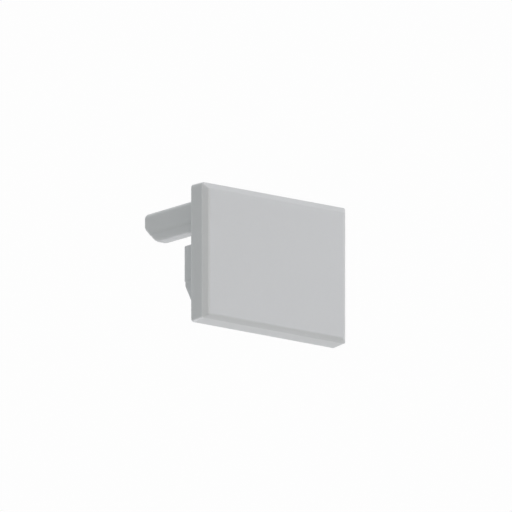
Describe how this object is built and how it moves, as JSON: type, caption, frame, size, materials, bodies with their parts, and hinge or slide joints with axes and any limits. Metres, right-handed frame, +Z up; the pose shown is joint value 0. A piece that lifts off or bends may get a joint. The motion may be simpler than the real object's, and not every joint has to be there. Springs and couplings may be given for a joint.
{
  "type": "profile end cap",
  "caption": "Moulded end cap for a small aluminium profile: rectangular cover plate with bevelled front edges, tongues and tabs that press into the profile's chambers.",
  "frame": {"origin": "middle of the cover plate's back face, which seats on the profile's end", "axes": "+Y out of the back face along the tongues, into the profile; +Z up, towards the tongues' chamber; +X along the plate's width; the bevelled front looks towards -Y"},
  "size_m": [0.016, 0.0099, 0.0122],
  "materials": {
    "end_cap": "light grey moulded plastic with a fine satin grain"
  },
  "bodies": {
    "root": {"end_cap": "end_cap"}
  },
  "joints": []
}
